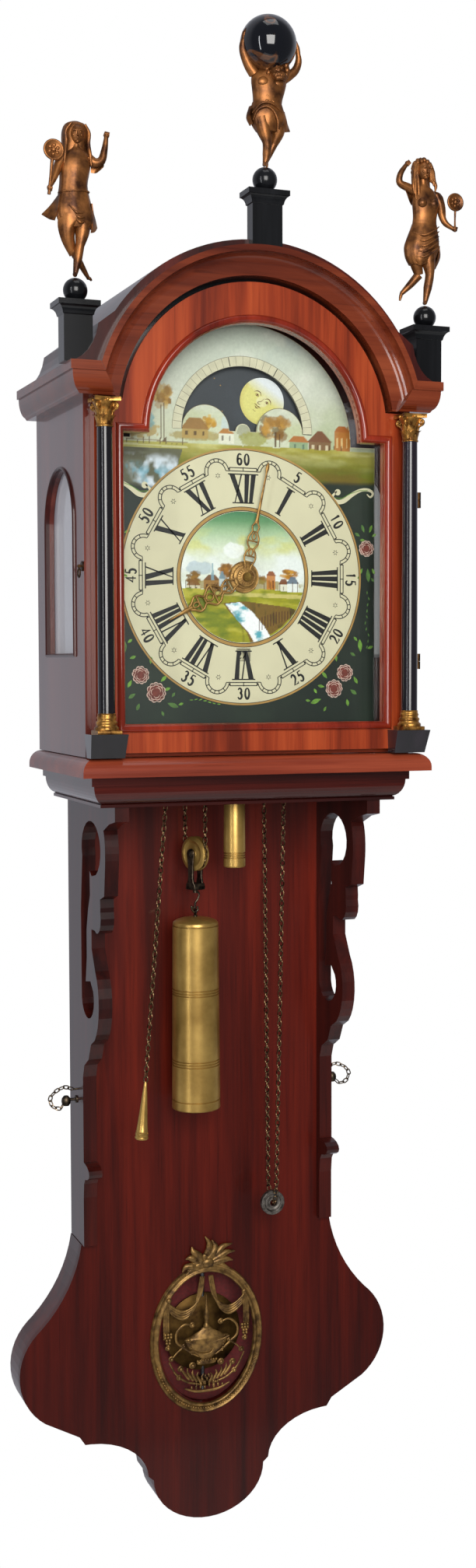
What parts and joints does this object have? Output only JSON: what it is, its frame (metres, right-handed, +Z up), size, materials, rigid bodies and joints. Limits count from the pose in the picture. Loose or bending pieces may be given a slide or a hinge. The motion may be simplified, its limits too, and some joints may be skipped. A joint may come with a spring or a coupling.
{
  "type": "grandfather clock",
  "caption": "Wall-hung long-tail pendulum clock with a glazed arched hood, painted moon dial, chain-hung brass weights and gilt finial figures.",
  "frame": {"origin": "the hole in the hanging plate, on the wall plane", "axes": "+X to the right seen from the front, +Y into the wall, +Z up along the clock's height"},
  "size_m": [0.4526, 0.254, 1.6225],
  "materials": {
    "mahogany": "polished red mahogany",
    "deep_mahogany": "polished darker red mahogany",
    "ebonised": "black polished",
    "plain_wood": "unpolished",
    "steel": "bare",
    "iron": "dark oiled",
    "brass": "aged polish",
    "bell_metal": "satin",
    "gilt": "dark gilt bronze",
    "lead": "dull grey lead",
    "velvet": "red pile",
    "dial_paint": "hand-painted, satin",
    "moon_paint": "hand-painted night sky",
    "date_paint": "satin cream",
    "glass": "clear"
  },
  "bodies": {
    "case": {"backboard": "deep_mahogany", "tail_front": "mahogany", "tail_rim": "deep_mahogany", "left_bracket": "mahogany", "right_bracket": "mahogany", "console_shelf": "mahogany", "console_moulding": "deep_mahogany", "seat_board": "plain_wood", "hanging_plate": "steel", "velvet_backing": "velvet", "oval_ornament": "brass", "side_hooks": "iron", "movement_frame": "brass", "movement_brackets": "steel", "bell": "bell_metal", "dial_plate": "dial_paint", "weight_chain": "iron", "ring_chain": "iron", "alarm_chain": "iron", "cone_chain": "iron"},
    "minute": {"centre_wheel": "brass", "minute_hand": "brass"},
    "hour": {"hour_hand": "brass"},
    "alarm_setting": {"alarm_disc": "brass"},
    "moon": {"moon_disc": "moon_paint"},
    "date": {"date_ring": "date_paint"},
    "time_great": {"time_wheel": "brass"},
    "third": {"third_wheel": "brass"},
    "escape": {"escape_wheel": "brass"},
    "crutch": {"anchor": "steel"},
    "pendulum": {"pendulum_rod": "steel", "pendulum_bob": "brass"},
    "strike_great": {"strike_wheel": "brass"},
    "strike_fly": {"fly": "brass"},
    "strike_arm": {"strike_hammer": "steel"},
    "alarm_great": {"alarm_wheel": "brass"},
    "alarm_arm": {"alarm_hammer": "steel"},
    "weight": {"main_weight": "brass", "pulley_frame": "iron"},
    "sheave": {"pulley_sheave": "brass"},
    "ring": {"ring_weight": "lead"},
    "alarm_bob": {"alarm_weight": "brass"},
    "cone": {"cone_weight": "brass"},
    "hood": {"hood_sides": "mahogany", "hood_front": "mahogany", "side_glass": "glass", "hood_roof": "deep_mahogany", "arch_cornice": "mahogany", "finial_plinths": "ebonised", "left_figure": "gilt", "right_figure": "gilt", "atlas_figure": "gilt", "globe": "ebonised", "hood_hardware": "brass"},
    "door": {"door_frame": "mahogany", "door_glass": "glass", "columns": "ebonised", "column_brasses": "brass", "door_hardware": "brass"},
    "hood_ring": {"pull_ring": "brass"}
  },
  "joints": [
    {"name": "hood_slide", "type": "slide", "parent": "case", "child": "hood", "axis": [0, -1, 0], "range_m": [0, 0.26]},
    {"name": "door_hinge", "type": "hinge", "parent": "hood", "child": "door", "pos_m": [0.1805, -0.2135, -0.1], "axis": [0, 0, 1], "range_deg": [0, 100]},
    {"name": "ring_swing", "type": "hinge", "parent": "hood", "child": "hood_ring", "pos_m": [-0.1823, -0.189, -0.127], "axis": [0, 1, 0], "range_deg": [0, 80]},
    {"name": "minute_turn", "type": "hinge", "parent": "case", "child": "minute", "pos_m": [0, -0.11, -0.134], "axis": [0, 1, 0], "continuous": true},
    {"name": "hour_turn", "type": "hinge", "parent": "case", "child": "hour", "pos_m": [0, -0.15, -0.134], "axis": [0, 1, 0], "continuous": true},
    {"name": "alarm_set", "type": "hinge", "parent": "hour", "child": "alarm_setting", "pos_m": [0, -0.17, -0.134], "axis": [0, 1, 0], "continuous": true},
    {"name": "moon_turn", "type": "hinge", "parent": "case", "child": "moon", "pos_m": [0, -0.159, 0.017], "axis": [0, 1, 0], "continuous": true},
    {"name": "date_turn", "type": "hinge", "parent": "case", "child": "date", "pos_m": [0, -0.162, -0.134], "axis": [0, 1, 0], "continuous": true},
    {"name": "time_great_turn", "type": "hinge", "parent": "case", "child": "time_great", "pos_m": [0.024, -0.1, -0.189], "axis": [0, 1, 0], "continuous": true},
    {"name": "third_turn", "type": "hinge", "parent": "case", "child": "third", "pos_m": [-0.035, -0.1, -0.0929], "axis": [0, 1, 0], "continuous": true},
    {"name": "escape_turn", "type": "hinge", "parent": "case", "child": "escape", "pos_m": [0, -0.1, -0.0688], "axis": [0, 1, 0], "continuous": true},
    {"name": "pendulum_swing", "type": "hinge", "parent": "case", "child": "pendulum", "pos_m": [0, -0.023, -0.0288], "axis": [0, 1, 0], "range_deg": [-2.5, 2.5]},
    {"name": "crutch_swing", "type": "hinge", "parent": "case", "child": "crutch", "pos_m": [0, -0.1, -0.0288], "axis": [0, 1, 0], "range_deg": [-2.5, 2.5]},
    {"name": "strike_great_turn", "type": "hinge", "parent": "case", "child": "strike_great", "pos_m": [0.011, -0.07, -0.189], "axis": [0, 1, 0], "continuous": true},
    {"name": "fly_turn", "type": "hinge", "parent": "case", "child": "strike_fly", "pos_m": [-0.02, -0.07, -0.1376], "axis": [0, 1, 0], "continuous": true},
    {"name": "strike_swing", "type": "hinge", "parent": "case", "child": "strike_arm", "pos_m": [0.062, -0.084, -0.04], "axis": [0, 1, 0], "range_deg": [-5, 12], "stiffness_Nm_per_rad": 0.1},
    {"name": "alarm_great_turn", "type": "hinge", "parent": "case", "child": "alarm_great", "pos_m": [-0.028, -0.128, -0.16], "axis": [0, 1, 0], "range_deg": [0, 560]},
    {"name": "alarm_swing", "type": "hinge", "parent": "case", "child": "alarm_arm", "pos_m": [-0.014, -0.094, -0.036], "axis": [0, 1, 0], "range_deg": [-12, 9], "stiffness_Nm_per_rad": 0.1},
    {"name": "weight_fall", "type": "slide", "parent": "case", "child": "weight", "axis": [0, 0, -1], "range_m": [0, 0.35], "deforming": ["weight_chain", "ring_chain"]},
    {"name": "sheave_turn", "type": "hinge", "parent": "weight", "child": "sheave", "pos_m": [-0.0285, -0.09, -0.431], "axis": [0.9176, 0.3976, 0], "range_deg": [0, 1300]},
    {"name": "ring_rise", "type": "slide", "parent": "case", "child": "ring", "axis": [0, 0, 1], "range_m": [0, 0.35]},
    {"name": "alarm_fall", "type": "slide", "parent": "case", "child": "alarm_bob", "axis": [0, 0, -1], "range_m": [0, 0.3], "deforming": ["alarm_chain", "cone_chain"]},
    {"name": "cone_rise", "type": "slide", "parent": "case", "child": "cone", "axis": [0.0802, 0, 0.9968], "range_m": [0, 0.3]}
  ],
  "couplings": [
    {"joint": "hour_turn", "follows": "minute_turn", "ratio": 0.083333},
    {"joint": "moon_turn", "follows": "minute_turn", "ratio": 0.00070621},
    {"joint": "date_turn", "follows": "minute_turn", "ratio": 0.0013441},
    {"joint": "time_great_turn", "follows": "minute_turn", "ratio": -0.11111},
    {"joint": "third_turn", "follows": "minute_turn", "ratio": -8},
    {"joint": "escape_turn", "follows": "minute_turn", "ratio": 60},
    {"joint": "crutch_swing", "follows": "pendulum_swing", "ratio": 1},
    {"joint": "fly_turn", "follows": "strike_great_turn", "ratio": -9},
    {"joint": "sheave_turn", "follows": "weight_fall", "rad_per_m": 60.976},
    {"joint": "ring_rise", "follows": "weight_fall", "ratio": 1},
    {"joint": "alarm_great_turn", "follows": "alarm_fall", "rad_per_m": 31.746},
    {"joint": "cone_rise", "follows": "alarm_fall", "ratio": 1}
  ]
}
